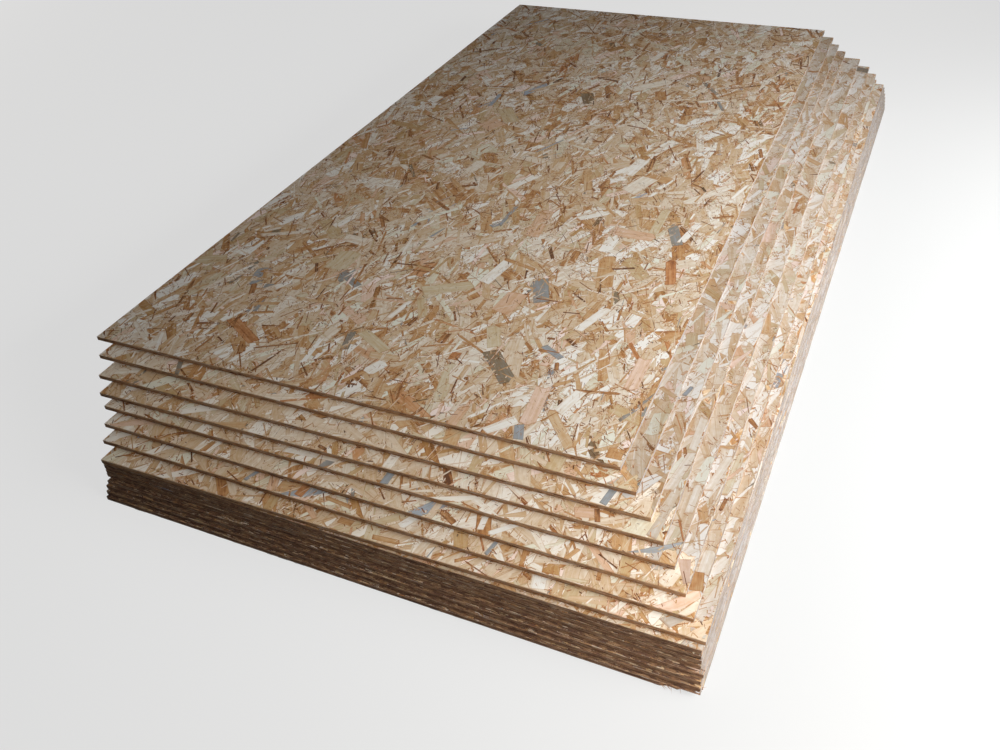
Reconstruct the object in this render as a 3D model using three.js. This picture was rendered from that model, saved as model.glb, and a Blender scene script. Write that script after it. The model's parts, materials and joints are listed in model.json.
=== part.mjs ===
// A stack of oriented strand board (OSB) sheets lying flat.
// The lower sheets stand flush within a few millimetres, and the upper ones are fanned back
// and to the left, so that a strip of each face shows in front of and beside the sheet above it.
//
// Millimetres, +Z up, +X along a sheet's width, +Y along its length, away from the front.
// The origin is the middle of the lowest sheet's underside.

import * as THREE from 'three';

// ---- Driving sizes --------------------------------------------------------------------------

const SHEET_LENGTH = 2440; // 8 ft
const SHEET_WIDTH = 1220; // 4 ft
const SHEET_THICKNESS = 9;
const REST_GAP = 0.3; // air left between two sheets by strands that stand proud of their faces

// How each sheet lies, from the lowest up: how far its middle is across (+X) and along (+Y)
// from the lowest sheet's middle, and how far it is turned, in degrees, anticlockwise from above.
const FLUSH_SHEETS = [
  { across: 0, along: 0, turn: 0 },
  { across: -2, along: 6, turn: 0 },
  { across: -4, along: 12, turn: 0 },
  { across: -4, along: 18, turn: 0.1 },
  { across: -9, along: 27, turn: 0 },
  { across: -11, along: 29, turn: 0.1 },
  { across: -13, along: 31, turn: 0.1 },
  { across: -16, along: 33, turn: 0.2 },
];
const FANNED_SHEETS = [
  { across: -28, along: 37, turn: 0.9 },
  { across: -45, along: 71, turn: 0.4 },
  { across: -71, along: 106, turn: 0.5 },
  { across: -106, along: 145, turn: 0.7 },
  { across: -149, along: 174, turn: 1.3 },
  { across: -181, along: 211, turn: 1.2 },
  { across: -215, along: 256, turn: 0.9 },
  { across: -256, along: 298, turn: 0.8 },
];

// The lowest sheet's front right corner is broken away. Each point of the break is given by
// how far it lies in from the sheet's right side and in from its front edge.
const CORNER_BREAK = [
  { fromSide: 66, fromFront: 0 },
  { fromSide: 55, fromFront: 4 },
  { fromSide: 38, fromFront: 3 },
  { fromSide: 29, fromFront: 9 },
  { fromSide: 12, fromFront: 8 },
  { fromSide: 7, fromFront: 14 },
  { fromSide: 0, fromFront: 17 },
];

// ---- Finishes -------------------------------------------------------------------------------

const STRAW = new THREE.Color(0.72, 0.57, 0.38);
const SHADE_STEP = 0.04; // how much the sheets differ in lightness
const BOARD_ROUGHNESS = 0.85;

function boardFinish(index) {
  const shade = 1 + SHADE_STEP * Math.cos(2.4 * index);
  return new THREE.MeshStandardMaterial({
    color: STRAW.clone().multiplyScalar(shade),
    roughness: BOARD_ROUGHNESS,
    metalness: 0,
  });
}

// ---- Sheets ---------------------------------------------------------------------------------

// The sheet seen from above, its middle at the origin, anticlockwise from the front left corner.
// A corner that is broken has the break's points in place of its one sharp point.
function sheetOutline(frontRightBreak) {
  const side = SHEET_WIDTH / 2;
  const end = SHEET_LENGTH / 2;
  const outline = new THREE.Shape();
  outline.moveTo(-side, -end);
  for (const point of frontRightBreak) {
    outline.lineTo(side - point.fromSide, -end + point.fromFront);
  }
  outline.lineTo(side, end);
  outline.lineTo(-side, end);
  outline.closePath();
  return outline;
}

const SHARP_CORNER = [{ fromSide: 0, fromFront: 0 }];

function makeSheet(name, index, lie, frontRightBreak) {
  const geometry = new THREE.ExtrudeGeometry(sheetOutline(frontRightBreak), {
    depth: SHEET_THICKNESS,
    bevelEnabled: false,
  });
  const sheet = new THREE.Mesh(geometry, boardFinish(index));
  sheet.name = name;
  sheet.position.set(lie.across, lie.along, index * (SHEET_THICKNESS + REST_GAP));
  sheet.rotation.z = THREE.MathUtils.degToRad(lie.turn);
  return sheet;
}

// ---- Stack ----------------------------------------------------------------------------------

function makeStack() {
  const stack = new THREE.Group();
  stack.name = 'osb_stack';
  FLUSH_SHEETS.forEach((lie, place) => {
    const name = `flush_sheet_${place + 1}`;
    stack.add(makeSheet(name, place, lie, place === 0 ? CORNER_BREAK : SHARP_CORNER));
  });
  FANNED_SHEETS.forEach((lie, place) => {
    const name = `fanned_sheet_${place + 1}`;
    stack.add(makeSheet(name, FLUSH_SHEETS.length + place, lie, SHARP_CORNER));
  });
  return stack;
}

export default makeStack();
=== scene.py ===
# %% [markdown]
# # A stack of oriented strand board sheets
#
# Oriented strand board (OSB) is made of thin wafers of softwood, the strands, pressed flat with
# resin. A face is a crowd of overlapping strands in many tones, most of them pointing along the
# sheet. An edge is a saw cut through them, so it shows fine streaks. The sheets come ready from
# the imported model. This file gives them their wood, and lays real strands on every face and edge
# that shows.

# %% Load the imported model
import json
import math
import random
from collections import namedtuple

import bmesh
import bpy
from mathutils import Euler, Matrix, Vector

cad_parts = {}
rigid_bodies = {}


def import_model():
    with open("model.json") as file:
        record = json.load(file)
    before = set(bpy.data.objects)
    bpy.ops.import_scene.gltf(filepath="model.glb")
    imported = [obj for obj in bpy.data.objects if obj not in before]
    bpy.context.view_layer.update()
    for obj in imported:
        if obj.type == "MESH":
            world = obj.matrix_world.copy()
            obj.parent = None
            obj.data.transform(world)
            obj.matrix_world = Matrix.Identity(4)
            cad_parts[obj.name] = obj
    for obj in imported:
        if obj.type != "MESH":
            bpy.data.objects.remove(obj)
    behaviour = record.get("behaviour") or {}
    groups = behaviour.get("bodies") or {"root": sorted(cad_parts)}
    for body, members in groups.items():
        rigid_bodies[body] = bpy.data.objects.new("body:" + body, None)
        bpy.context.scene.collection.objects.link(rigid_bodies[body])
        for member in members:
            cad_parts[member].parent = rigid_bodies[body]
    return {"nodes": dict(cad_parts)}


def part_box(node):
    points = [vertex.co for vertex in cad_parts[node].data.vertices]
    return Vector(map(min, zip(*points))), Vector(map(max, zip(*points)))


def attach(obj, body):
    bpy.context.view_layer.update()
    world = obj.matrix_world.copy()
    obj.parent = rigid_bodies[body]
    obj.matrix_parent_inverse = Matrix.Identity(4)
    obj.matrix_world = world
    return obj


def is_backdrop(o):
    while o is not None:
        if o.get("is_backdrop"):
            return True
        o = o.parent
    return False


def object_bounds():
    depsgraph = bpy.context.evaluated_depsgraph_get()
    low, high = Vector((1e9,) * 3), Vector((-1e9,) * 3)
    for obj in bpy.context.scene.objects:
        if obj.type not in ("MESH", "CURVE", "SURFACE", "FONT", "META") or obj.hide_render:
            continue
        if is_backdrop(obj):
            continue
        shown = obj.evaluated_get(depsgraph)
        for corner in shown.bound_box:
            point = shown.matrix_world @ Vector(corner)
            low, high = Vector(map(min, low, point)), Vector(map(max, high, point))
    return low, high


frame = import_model()
cad_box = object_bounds()
print("sheets:", len(frame["nodes"]))

# %% [markdown]
# ## Where each sheet lies
#
# The strands have to follow the sheets, which are shifted and turned a little against each other.
# A sheet's place could be typed in again, but it would go stale when the stack changes. It is
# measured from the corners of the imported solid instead.

# %% Measure the sheets
MM = 0.001
Lie = namedtuple("Lie", "middle turn half_width half_length under top")


def lie_of(name):
    corners = {(v.co.x, v.co.y) for v in frame["nodes"][name].data.vertices}
    front_left = Vector(min(corners, key=lambda c: c[0] + c[1]))
    back_right = Vector(max(corners, key=lambda c: c[0] + c[1]))
    back_left = Vector(min(corners, key=lambda c: c[0] - c[1]))
    side = back_left - front_left
    low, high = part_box(name)
    return Lie(
        middle=(front_left + back_right) / 2,
        turn=math.atan2(-side.x, side.y),
        half_width=(back_right - back_left).length / 2,
        half_length=side.length / 2,
        under=low.z,
        top=high.z,
    )


sheet_names = sorted(frame["nodes"], key=lambda name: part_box(name)[0].z)
lies = {name: lie_of(name) for name in sheet_names}
for name, lie in lies.items():
    print(f"{name}: middle {lie.middle.x:.3f}, {lie.middle.y:.3f}, turn {math.degrees(lie.turn):.2f}")

# %% [markdown]
# ## Small helpers for node trees
#
# The strands and the wood are both made with nodes. Each helper adds one node, sets or links its
# inputs, and steps it to the right, so that a tree opened in Blender can still be read.

# %% Helpers for node trees
NODE_STEP = 190
NODE_ROW = 12


def node(tree, kind, inputs=None, **settings):
    made = tree.nodes.new(kind)
    place = len(tree.nodes)
    made.location = (NODE_STEP * (place % NODE_ROW), -2 * NODE_STEP * (place // NODE_ROW))
    for key, value in settings.items():
        setattr(made, key, value)
    for key, value in (inputs or {}).items():
        if isinstance(value, bpy.types.NodeSocket):
            tree.links.new(value, made.inputs[key])
        else:
            made.inputs[key].default_value = value
    return made


def output_of(tree, kind, inputs=None, **settings):
    """A new node's first output."""
    return node(tree, kind, inputs, **settings).outputs[0]


def maths(tree, operation, *values):
    return output_of(tree, "ShaderNodeMath", dict(enumerate(values)), operation=operation)


def vector_maths(tree, operation, *values):
    return output_of(tree, "ShaderNodeVectorMath", dict(enumerate(values)), operation=operation)


def mix(tree, share, first, second):
    return output_of(tree, "ShaderNodeMix", {0: share, 2: first, 3: second})


def mix_colours(tree, share, first, second, blend="MIX"):
    inputs = {0: share, 6: first, 7: second}
    return node(tree, "ShaderNodeMix", inputs, data_type="RGBA", blend_type=blend).outputs[2]


def multiply_colours(tree, first, second):
    return mix_colours(tree, 1.0, first, second, "MULTIPLY")


def noise(tree, place, scale, detail=2.0):
    return output_of(tree, "ShaderNodeTexNoise", {"Vector": place, "Scale": scale, "Detail": detail})


def join_axes(tree, x=0.0, y=0.0, z=0.0):
    return output_of(tree, "ShaderNodeCombineXYZ", {0: x, 1: y, 2: z})


def split_axes(tree, vector):
    return node(tree, "ShaderNodeSeparateXYZ", {0: vector}).outputs


def new_group(name, kind, inputs, outputs):
    tree = bpy.data.node_groups.new(name, kind)
    for label, socket_type, default in inputs:
        socket = tree.interface.new_socket(label, in_out="INPUT", socket_type=socket_type)
        if default is not None:
            socket.default_value = default
    for label, socket_type in outputs:
        tree.interface.new_socket(label, in_out="OUTPUT", socket_type=socket_type)
    start = tree.nodes.new("NodeGroupInput")
    end = tree.nodes.new("NodeGroupOutput")
    return tree, start.outputs, end.inputs


FLOAT = "NodeSocketFloat"
VECTOR = "NodeSocketVector"
COLOUR = "NodeSocketColor"
print("kinds of socket:", FLOAT, VECTOR, COLOUR)

# %% [markdown]
# ## Wood tones
#
# Spruce and pine strands run from nearly white sapwood to orange and brown heartwood. One group
# turns a tone from 0, dark, to 1, white, into a colour. A second number, the kind, picks out the
# few strands of another hue: greenish grey, pinkish or slate.

# %% Group: wood colour
WOOD_TONES = [
    (0.00, (0.130, 0.055, 0.028)),
    (0.08, (0.270, 0.115, 0.048)),
    (0.20, (0.450, 0.222, 0.088)),
    (0.34, (0.535, 0.325, 0.160)),
    (0.48, (0.575, 0.405, 0.252)),
    (0.62, (0.625, 0.485, 0.350)),
    (0.76, (0.685, 0.575, 0.465)),
    (0.89, (0.745, 0.670, 0.590)),
    (1.00, (0.805, 0.762, 0.720)),
]
UNSTAINED = (1.0, 1.0, 1.0, 1.0)
SAGE = (0.91, 0.93, 0.86, 1.0)
PINK = (1.03, 0.90, 0.89, 1.0)
SLATE = (0.43, 0.51, 0.64, 1.0)
SAGE_FROM, PINK_FROM, SLATE_FROM = 0.79, 0.93, 0.985


def ramp(tree, factor, stops, interpolation="LINEAR"):
    made = node(tree, "ShaderNodeValToRGB", {"Fac": factor})
    made.color_ramp.interpolation = interpolation
    elements = made.color_ramp.elements
    while len(elements) < len(stops):
        elements.new(1.0)
    for element, (at, colour) in zip(elements, stops):
        element.position = at
        element.color = (*colour[:3], 1.0)
    return made.outputs["Color"]


def make_wood_colour():
    inputs = [("Tone", FLOAT, 0.5), ("Kind", FLOAT, 0.0)]
    tree, given, result = new_group("wood colour", "ShaderNodeTree", inputs, [("Color", COLOUR)])
    wood = ramp(tree, given["Tone"], WOOD_TONES)
    stops = [(0.0, UNSTAINED), (SAGE_FROM, SAGE), (PINK_FROM, PINK), (SLATE_FROM, SLATE)]
    hue = ramp(tree, given["Kind"], stops, "CONSTANT")
    tree.links.new(multiply_colours(tree, wood, hue), result["Color"])
    return tree


wood_colour = make_wood_colour()
print("tones:", len(WOOD_TONES))

# %% [markdown]
# ## Fibres
#
# A strand is sliced along the grain, so fine fibres and broader bands of late wood run down its
# length. Both are noise, stretched far along the grain. The group takes a place on the strand in
# metres, across and along the grain, and gives the two streaks, each about 0.

# %% Group: fibres
STREAKS = [("Fibre", 1.2 * MM, 24.0, 2.0), ("Band", 6 * MM, 22.0, 1.0)]  # size, stretch, detail


def make_fibres():
    inputs = [("Place", VECTOR, None)]
    inputs += [(f"{label} Size", FLOAT, size) for label, size, _, _ in STREAKS]
    outputs = [(label, FLOAT) for label, _, _, _ in STREAKS]
    tree, given, result = new_group("fibres", "ShaderNodeTree", inputs, outputs)
    for label, _, stretch, detail in STREAKS:
        size = given[f"{label} Size"]
        longer = maths(tree, "MULTIPLY", size, stretch)
        spot = vector_maths(tree, "DIVIDE", given["Place"], join_axes(tree, size, longer, size))
        centred = maths(tree, "SUBTRACT", noise(tree, spot, 1.0, detail), 0.5)
        tree.links.new(centred, result[label])
    return tree


fibres = make_fibres()
print("fibres:", len(fibres.nodes), "nodes")

# %% [markdown]
# ## The wood of one strand
#
# A laid strand carries as attributes its tone, its kind, each corner's place on the strand, and
# how far that is in from the rim. The fibres shift the tone a little, and so does a soft mottle of
# dust and resin that passes from strand to strand. The rim is darker and browner: painted shade,
# where one strand's edge stands over another. One tree serves several woods, each with a look of
# its own.

# %% Material: strand
def group_node(tree, group, inputs):
    return node(tree, "ShaderNodeGroup", inputs, node_tree=group)


def attribute(tree, name, output="Fac"):
    return node(tree, "ShaderNodeAttribute", attribute_name=name).outputs[output]


def new_material(name, roughness, specular):
    material = bpy.data.materials.new(name)
    material.use_nodes = True
    tree = material.node_tree
    shader = tree.nodes["Principled BSDF"]
    shader.inputs["Roughness"].default_value = roughness
    shader.inputs["Specular IOR Level"].default_value = specular
    return material, tree, shader


def add_relief(tree, shader, height, depth):
    bump = node(tree, "ShaderNodeBump", {"Height": height, "Distance": depth, "Strength": 1.0})
    tree.links.new(bump.outputs["Normal"], shader.inputs["Normal"])


StrandLook = namedtuple("StrandLook", "fibre_share band_share rim_width rim_stain tint relief hues")
MOTTLE_SIZE, MOTTLE_SHARE = 11 * MM, 0.30
STRAND_ROUGHNESS, STRAND_SPECULAR = 0.72, 0.25
FIBRE_ROUGHNESS = -0.35  # pale fibres are the smoother ones


def make_strand_wood(name, look):
    material, tree, shader = new_material(name, STRAND_ROUGHNESS, STRAND_SPECULAR)
    streaks = group_node(tree, fibres, {"Place": attribute(tree, "place", "Vector")})
    fibre, band = streaks.outputs["Fibre"], streaks.outputs["Band"]
    tone = maths(tree, "MULTIPLY_ADD", band, look.band_share, attribute(tree, "tone"))
    tone = maths(tree, "MULTIPLY_ADD", fibre, look.fibre_share, tone)
    ground = node(tree, "ShaderNodeTexCoord").outputs["Object"]
    mottle = maths(tree, "SUBTRACT", noise(tree, ground, 1 / MOTTLE_SIZE), 0.5)
    tone = maths(tree, "MULTIPLY_ADD", mottle, MOTTLE_SHARE, tone)
    kind = maths(tree, "MULTIPLY", attribute(tree, "kind"), look.hues)
    wood = group_node(tree, wood_colour, {"Tone": tone, "Kind": kind})
    # painted shade: each strand is darker and browner near its rim, where its edge stands over another
    rim = {"Value": attribute(tree, "inset"), 1: 0.0, 2: look.rim_width, 3: 0.0, 4: 1.0}
    inside = output_of(tree, "ShaderNodeMapRange", rim)
    rim_shading = mix_colours(tree, inside, (*look.rim_stain, 1.0), UNSTAINED)
    shaded = multiply_colours(tree, wood.outputs[0], rim_shading)
    tinted = multiply_colours(tree, shaded, (*look.tint, 1.0))
    tree.links.new(tinted, shader.inputs["Base Color"])
    rough = maths(tree, "MULTIPLY_ADD", fibre, FIBRE_ROUGHNESS, STRAND_ROUGHNESS)
    tree.links.new(rough, shader.inputs["Roughness"])
    add_relief(tree, shader, fibre, look.relief)
    return material


# the fourth value of a look, a colour, is the painted shade along a strand's rim
FACE_LOOK = StrandLook(0.28, 0.48, 0.9 * MM, (0.72, 0.52, 0.36), (1.0, 1.0, 1.0), 0.5 * MM, 1.0)
# a paler, warmer copy of the face wood for the strips in front of the sheets above
PALER_FRONT_LOOK = FACE_LOOK._replace(tint=(1.03, 0.99, 0.94))
# painted light: a dimmed copy of the face wood for the strips at the right, washed out by strong light
LIGHT_WASHED_LOOK = FACE_LOOK._replace(tint=(0.72, 0.71, 0.72))
END_LOOK = StrandLook(0.5, 0.5, 0.25 * MM, (0.5, 0.5, 0.5), (0.86, 0.93, 1.16), 0.4 * MM, 0.0)
# painted shade, with some dust: the flush block's cut ends are greyer
SHADE_AND_DUST_END_LOOK = END_LOOK._replace(tint=(0.94, 1.20, 1.86))
# painted shade, with some dust: the wood of the flush block's dark front ledges
SHADE_AND_DUST_LEDGE_LOOK = END_LOOK._replace(tint=(0.84, 1.02, 1.36))
SIDE_LOOK = StrandLook(0.3, 0.35, 0.25 * MM, (0.7, 0.7, 0.7), (0.50, 0.495, 0.525), 0.3 * MM, 0.0)
strand_wood = make_strand_wood("strand wood", FACE_LOOK)
paler_front_wood = make_strand_wood("paler front strip wood", PALER_FRONT_LOOK)
light_washed_wood = make_strand_wood("light-washed strand wood", LIGHT_WASHED_LOOK)
end_grain_wood = make_strand_wood("end grain wood", END_LOOK)
shade_and_dust_end_wood = make_strand_wood("end grain wood with painted shade and dust", SHADE_AND_DUST_END_LOOK)
shade_and_dust_ledge_wood = make_strand_wood("ledge wood with painted shade and dust", SHADE_AND_DUST_LEDGE_LOOK)
side_grain_wood = make_strand_wood("side grain wood", SIDE_LOOK)
print("woods:", len(bpy.data.materials))

# %% [markdown]
# ## The pressed core that shows in the gaps
#
# Between the laid strands, and on every hidden face, the sheet still has to be strand board. Real
# strands would be wasted there, so the pattern is drawn: stretched and turned cells of Voronoi
# noise make one layer of strands, and of four such layers the one with the highest random number
# shows.

# %% Group: drawn strands
LAYERS = [(-24, 70, 15), (6, 95, 22), (31, 60, 9), (-52, 45, 6)]  # lean, length and width
SHEETS_DIFFER, LAYERS_DIFFER = 7.31, 3.7  # cells by which sheets and layers are shifted


def make_drawn_strands():
    inputs = [("Place", VECTOR, None), ("Sheet", FLOAT, 0.0)]
    outputs = [("Tone", FLOAT), ("Kind", FLOAT), ("Grain Place", VECTOR)]
    tree, given, result = new_group("drawn strands", "ShaderNodeTree", inputs, outputs)
    tone = kind = grain = highest = None
    for number, (lean, length, width) in enumerate(LAYERS):
        lay_of_grain = {"Vector": given["Place"], "Angle": math.radians(lean)}
        turned = output_of(tree, "ShaderNodeVectorRotate", lay_of_grain, rotation_type="Z_AXIS")
        scaled = vector_maths(tree, "DIVIDE", turned, (width * MM, length * MM, 1.0))
        shift = maths(tree, "MULTIPLY_ADD", given["Sheet"], SHEETS_DIFFER, number * LAYERS_DIFFER)
        spot = {"Vector": vector_maths(tree, "ADD", scaled, join_axes(tree, shift, shift)), "Scale": 1.0}
        cells = node(tree, "ShaderNodeTexVoronoi", spot, voronoi_dimensions="2D")
        parts = node(tree, "ShaderNodeSeparateColor", {0: cells.outputs["Color"]}).outputs
        if highest is None:
            tone, kind, highest, grain = parts[0], parts[1], parts[2], turned
            continue
        above = maths(tree, "GREATER_THAN", parts[2], highest)
        highest = maths(tree, "MAXIMUM", parts[2], highest)
        tone = mix(tree, above, tone, parts[0])
        kind = mix(tree, above, kind, parts[1])
        choice = {0: above, 4: grain, 5: turned}
        grain = node(tree, "ShaderNodeMix", choice, data_type="VECTOR").outputs[1]
    for label, value in (("Tone", tone), ("Kind", kind), ("Grain Place", grain)):
        tree.links.new(value, result[label])
    return tree


drawn_strands = make_drawn_strands()
print("layers of drawn strands:", len(LAYERS))

# %% [markdown]
# ## The sawn edge
#
# A saw cut shows each strand as a streak about a millimetre high. Along the sheet the streaks are
# long and pale. Across it the strands are cut end on, so the streaks are short, and end grain
# takes up light and looks darker. The ends of the fanned sheets are paler near the top, a painted
# shade that darkens their foot. Those in the flush block are painted darker and greyer: shade,
# with some dust.

# %% Material: sheet
SHEET_PITCH = 9.3 * MM
FLUSH_COUNT = sum(name.startswith("flush") for name in sheet_names)
FLUSH_SHADE_AND_DUST = 0.08  # how much darker the cut ends of the flush sheets are: painted shade, with some dust
END_SHADE_SLOPE = 0.16  # painted shade: how much paler the top of a fanned sheet's cut end is than its foot
LOWEST_TONE, TONE_SPAN = 0.16, 0.62
DRAWN_FIBRE_SHARE = 0.5
STREAK_SIZE = (14 * MM, 34 * MM, 0.9 * MM)
LONG_STREAK, LONG_TONE = 0.8, 0.45  # a streak's share in the tone, and the tone without it
END_STREAK, END_TONE = 0.9, -0.26
RELIEF = 0.3 * MM
STREAK_DETAIL = 3.0
HAIR = 0.01  # of a pitch: keeps an underside from counting as the sheet below
HALF = 0.5  # beyond it a part of a normal counts as facing that way


def make_sheet_wood():
    material, tree, shader = new_material("sheet wood", roughness=0.8, specular=0.2)
    place = node(tree, "ShaderNodeTexCoord").outputs["Object"]
    level = maths(tree, "MULTIPLY_ADD", split_axes(tree, place)[2], 1 / SHEET_PITCH, HAIR)
    sheet = maths(tree, "FLOOR", level)
    drawn = group_node(tree, drawn_strands, {"Place": place, "Sheet": sheet})
    streaks = group_node(tree, fibres, {"Place": drawn.outputs["Grain Place"]})
    tone = maths(tree, "MULTIPLY_ADD", drawn.outputs["Tone"], TONE_SPAN, LOWEST_TONE)
    tone = maths(tree, "MULTIPLY_ADD", streaks.outputs["Fibre"], DRAWN_FIBRE_SHARE, tone)
    face = group_node(tree, wood_colour, {"Tone": tone, "Kind": drawn.outputs["Kind"]})

    facing = split_axes(tree, node(tree, "ShaderNodeNewGeometry").outputs["Normal"])
    on_edge = maths(tree, "LESS_THAN", maths(tree, "ABSOLUTE", facing[2]), HALF)
    across_cut = maths(tree, "GREATER_THAN", maths(tree, "ABSOLUTE", facing[1]), HALF)
    streak = noise(tree, vector_maths(tree, "DIVIDE", place, STREAK_SIZE), 1.0, STREAK_DETAIL)
    long_tone = maths(tree, "MULTIPLY_ADD", streak, LONG_STREAK, LONG_TONE)
    long_cut = group_node(tree, wood_colour, {"Tone": long_tone}).outputs[0]
    long_cut = multiply_colours(tree, long_cut, (*SIDE_LOOK.tint, 1.0))
    end_tone = maths(tree, "MULTIPLY_ADD", streak, END_STREAK, END_TONE)
    # painted shade, with some dust: the flush block's cut ends are darker and greyer
    in_block = maths(tree, "LESS_THAN", sheet, FLUSH_COUNT - HALF)
    # painted shade: the foot of a fanned sheet's cut end is darker than its top
    slope = mix(tree, in_block, END_SHADE_SLOPE, 0.0)
    up_the_cut = maths(tree, "SUBTRACT", level, sheet)
    end_tone = maths(tree, "MULTIPLY_ADD", up_the_cut, slope, end_tone)
    end_tone = maths(tree, "MULTIPLY_ADD", in_block, -FLUSH_SHADE_AND_DUST, end_tone)
    end_cut = group_node(tree, wood_colour, {"Tone": end_tone}).outputs[0]
    tint = mix_colours(tree, in_block, (*END_LOOK.tint, 1.0), (*SHADE_AND_DUST_END_LOOK.tint, 1.0))
    end_cut = multiply_colours(tree, end_cut, tint)
    edge = mix_colours(tree, across_cut, long_cut, end_cut)
    both = mix_colours(tree, on_edge, face.outputs[0], edge)
    tree.links.new(both, shader.inputs["Base Color"])
    add_relief(tree, shader, mix(tree, on_edge, drawn.outputs["Tone"], streak), RELIEF)
    return material


sheet_wood = make_sheet_wood()
for name in sheet_names:
    sheet = frame["nodes"][name]
    sheet.data.materials.clear()
    sheet.data.materials.append(sheet_wood)
print("sheet wood:", len(sheet_wood.node_tree.nodes), "nodes on", len(sheet_names), "sheets")

# %% [markdown]
# ## Outlines of strands
#
# Knives cut a strand to length and it splits along the grain, so its sides are straight and its
# ends are square, skewed or torn. A handful of outlines is enough, because length, width, turn and
# tone all change. Each becomes a thin closed shape one unit wide, long and thick, which the node
# tree scales: flat on top, with a keel below that sinks into the sheet. That takes half the faces
# of a prism, and leaves the rim a hair off the face, as on real board.

# %% Strand shapes
WIDE_OUTLINES = [
    [(-0.50, -0.47), (0.50, -0.50), (0.50, 0.46), (-0.50, 0.50)],
    [(-0.50, -0.50), (0.50, -0.45), (0.50, 0.40), (0.20, 0.50), (-0.50, 0.44)],
    [(-0.47, -0.50), (0.50, -0.45), (0.48, 0.50), (-0.20, 0.47), (-0.50, 0.36)],
    [(-0.50, -0.46), (0.06, -0.50), (0.50, -0.40), (0.50, 0.50), (0.10, 0.42), (-0.48, 0.46)],
    [(-0.50, -0.50), (0.30, -0.47), (0.50, -0.34), (0.48, 0.44), (-0.04, 0.50), (-0.48, 0.40)],
    [(-0.50, -0.42), (0.47, -0.50), (0.50, 0.50), (-0.45, 0.44)],
]
SLIVER_OUTLINES = [
    [(-0.50, -0.45), (0.30, -0.50), (0.50, 0.40), (0.00, 0.50), (-0.45, 0.36)],
    [(-0.45, -0.50), (0.50, -0.46), (0.45, 0.50), (-0.50, 0.42)],
    [(-0.50, -0.50), (0.40, -0.46), (0.50, 0.50), (-0.30, 0.44)],
]


def close_round(made, ring, upper, lower):
    """Closes a ring of corners with a fan of faces above it and another below."""
    for corner, after in zip(ring, ring[1:] + ring[:1]):
        made.faces.new((upper, corner, after))
        made.faces.new((lower, after, corner))


def finished(made, name, material=None):
    mesh = bpy.data.meshes.new(name)
    made.to_mesh(mesh)
    made.free()
    if material:
        mesh.materials.append(material)
    return mesh


def strand_shape(name, outline):
    shape = bmesh.new()
    inset_layer = shape.verts.layers.float.new("inset")
    own_layer = shape.verts.layers.float_vector.new("own_place")
    ring = [shape.verts.new((x, y, 0.0)) for x, y in outline]
    centre = sum((vertex.co for vertex in ring), Vector()) / len(ring)
    middle = shape.verts.new(centre)
    keel = shape.verts.new(centre - Vector((0.0, 0.0, 1.0)))
    close_round(shape, ring, middle, keel)
    for vertex in shape.verts:
        vertex[inset_layer] = 0.0 if vertex in ring else 1.0
        vertex[own_layer] = vertex.co
    return bpy.data.objects.new(name, finished(shape, name))


def shape_collection(name, outlines):
    collection = bpy.data.collections.new(name)
    for number, outline in enumerate(outlines):
        collection.objects.link(strand_shape(f"{name}_{number}", outline))
    return collection


wide_shapes = shape_collection("wide_shape", WIDE_OUTLINES)
sliver_shapes = shape_collection("sliver_shape", SLIVER_OUTLINES)
print("shapes:", len(WIDE_OUTLINES), "wide,", len(SLIVER_OUTLINES), "slivers")

# %% [markdown]
# ## Laying strands
#
# In the mill, strands fall at random on a mat and are lined up roughly by rollers. A node tree
# does the same on a flat patch, in the order of the work: where the strands fall, how each lies,
# its tone, its shape, and at the end the saw's trim. These are its inputs and the helpers that its
# parts share.

# %% Inputs and helpers of the tree that lays strands
WHOLE = "NodeSocketInt"
LAY_INPUTS = {
    "NodeSocketGeometry": {"Patch": None},
    "NodeSocketCollection": {"Shapes": None},
    "NodeSocketMaterial": {"Wood": None},
    WHOLE: {"Seed": 0, "Shape Count": 1},
    VECTOR: {"Trim Low": None, "Trim High": None, "Place": None, "Turn": None},
    FLOAT: {
        "Density": 1000.0, "Clumps": 0.0,
        "Least Length": 0.05, "Most Length": 0.12, "Least Width": 0.01, "Most Width": 0.03,
        "Lean": 0.0, "Lean Spread": 0.5, "Stray Share": 0.1,
        "Least Proud": 0.00005, "Most Proud": 0.00025, "Thickness": 0.0004, "Rise": 0.0001,
        "Tone": 0.5, "Tone Spread": 0.3, "Least Tone": 0.0, "Tone Slope": 0.0, "Sheen": 0.2,
    },
}
DRAWS = {  # what each random draw adds to the seed of a run; a bell takes three draws in a row
    "loss": 9, "stray": 11, "lean": 12, "stray lean": 15, "width": 16, "length": 17, "tone": 20,
    "kind": 24, "across": 25, "along": 26, "proud": 27, "roll": 31,
}


def random_value(tree, given, draw, low=0.0, high=1.0, part=0):
    added = {0: given["Seed"], 1: DRAWS[draw] + part}
    seed = output_of(tree, "FunctionNodeIntegerMath", added, operation="ADD")
    limits = {2: low, 3: high, 8: seed}
    return node(tree, "FunctionNodeRandomValue", limits, data_type="FLOAT").outputs[1]


def bell(tree, given, draw):
    """A random number from -1.5 to 1.5 that is most often near 0."""
    parts = [random_value(tree, given, draw, -0.5, 0.5, part) for part in range(3)]
    return maths(tree, "ADD", maths(tree, "ADD", parts[0], parts[1]), parts[2])


def geometry_of(tree, kind, inputs=None, **settings):
    return output_of(tree, "GeometryNode" + kind, inputs, **settings)


def store(tree, geometry, name, value, kind="FLOAT"):
    inputs = {"Geometry": geometry, "Name": name, "Value": value}
    return geometry_of(tree, "StoreNamedAttribute", inputs, domain="POINT", data_type=kind)


def named(tree, name, kind="FLOAT"):
    return geometry_of(tree, "InputNamedAttribute", {"Name": name}, data_type=kind)


print("inputs of the tree:", sum(len(labels) for labels in LAY_INPUTS.values()))

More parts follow.
